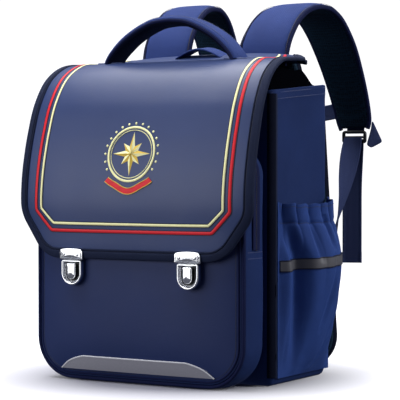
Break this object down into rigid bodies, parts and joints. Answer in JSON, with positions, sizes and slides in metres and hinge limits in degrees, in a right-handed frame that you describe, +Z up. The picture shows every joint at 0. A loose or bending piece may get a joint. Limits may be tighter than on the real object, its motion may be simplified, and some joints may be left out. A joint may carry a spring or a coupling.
{
  "type": "school satchel backpack",
  "caption": "Child's school backpack with a stiff fold-over flap, press locks, gathered side pouches, arched padded shoulder straps and a top handle.",
  "frame": {"origin": "on the floor under the middle of the main compartment, on its flat base", "axes": "+Z up, -Y out of the flap and front pocket, +X to the right of someone facing the flap"},
  "size_m": [0.3694, 0.4009, 0.4518],
  "materials": {
    "body_nylon": "woven nylon",
    "black_lining": "matt woven lining",
    "spacer_mesh": "padded air mesh",
    "pocket_leather": "satin faux leather",
    "flap_leather": "satin faux leather",
    "binding_tape": "stitched binding tape",
    "reflective_tape": "grey reflective tape",
    "red_print": "raised printed line",
    "cream_print": "raised printed line",
    "lock_chrome": "polished plated metal",
    "strap_nylon": "padded woven nylon",
    "strap_webbing": "ribbed webbing",
    "black_plastic": "moulded acetal"
  },
  "bodies": {
    "bag": {"body_shell": "body_nylon", "inner_collar": "black_lining", "back_panel": "spacer_mesh", "pocket_gusset": "body_nylon", "pocket_front": "pocket_leather", "pocket_piping": "binding_tape", "pocket_zip": "binding_tape", "pocket_reflector": "reflective_tape", "flap": "flap_leather", "flap_binding": "binding_tape", "flap_line_red": "red_print", "flap_line_cream": "cream_print", "emblem_ring": "cream_print", "emblem_star": "cream_print", "emblem_bar": "red_print", "lock_plate_left": "lock_chrome", "lock_plate_right": "lock_chrome", "lock_case_left": "lock_chrome", "lock_case_right": "lock_chrome", "side_pouch_left": "body_nylon", "side_pouch_right": "body_nylon", "side_reflector_left": "reflective_tape", "side_reflector_right": "reflective_tape", "handle": "binding_tape", "hang_loop": "strap_webbing", "shoulder_strap_left": "strap_nylon", "shoulder_strap_right": "strap_nylon", "strap_buckle_left": "black_plastic", "strap_buckle_right": "black_plastic", "lower_webbing_left": "strap_webbing", "lower_webbing_right": "strap_webbing", "webbing_tail_left": "strap_webbing", "webbing_tail_right": "strap_webbing", "pull_tab_left": "strap_webbing", "pull_tab_right": "strap_webbing", "strap_anchor_left": "strap_webbing", "strap_anchor_right": "strap_webbing", "chest_webbing_left": "strap_webbing", "chest_webbing_right": "strap_webbing", "chest_clip": "black_plastic"},
    "left_button": {"lock_button_left": "lock_chrome"},
    "right_button": {"lock_button_right": "lock_chrome"}
  },
  "joints": [
    {"name": "lock_press_left", "type": "slide", "parent": "bag", "child": "left_button", "axis": [0, 1, 0], "range_m": [0, 0.002], "stiffness_N_per_m": 300},
    {"name": "lock_press_right", "type": "slide", "parent": "bag", "child": "right_button", "axis": [0, 1, 0], "range_m": [0, 0.002], "stiffness_N_per_m": 300}
  ]
}
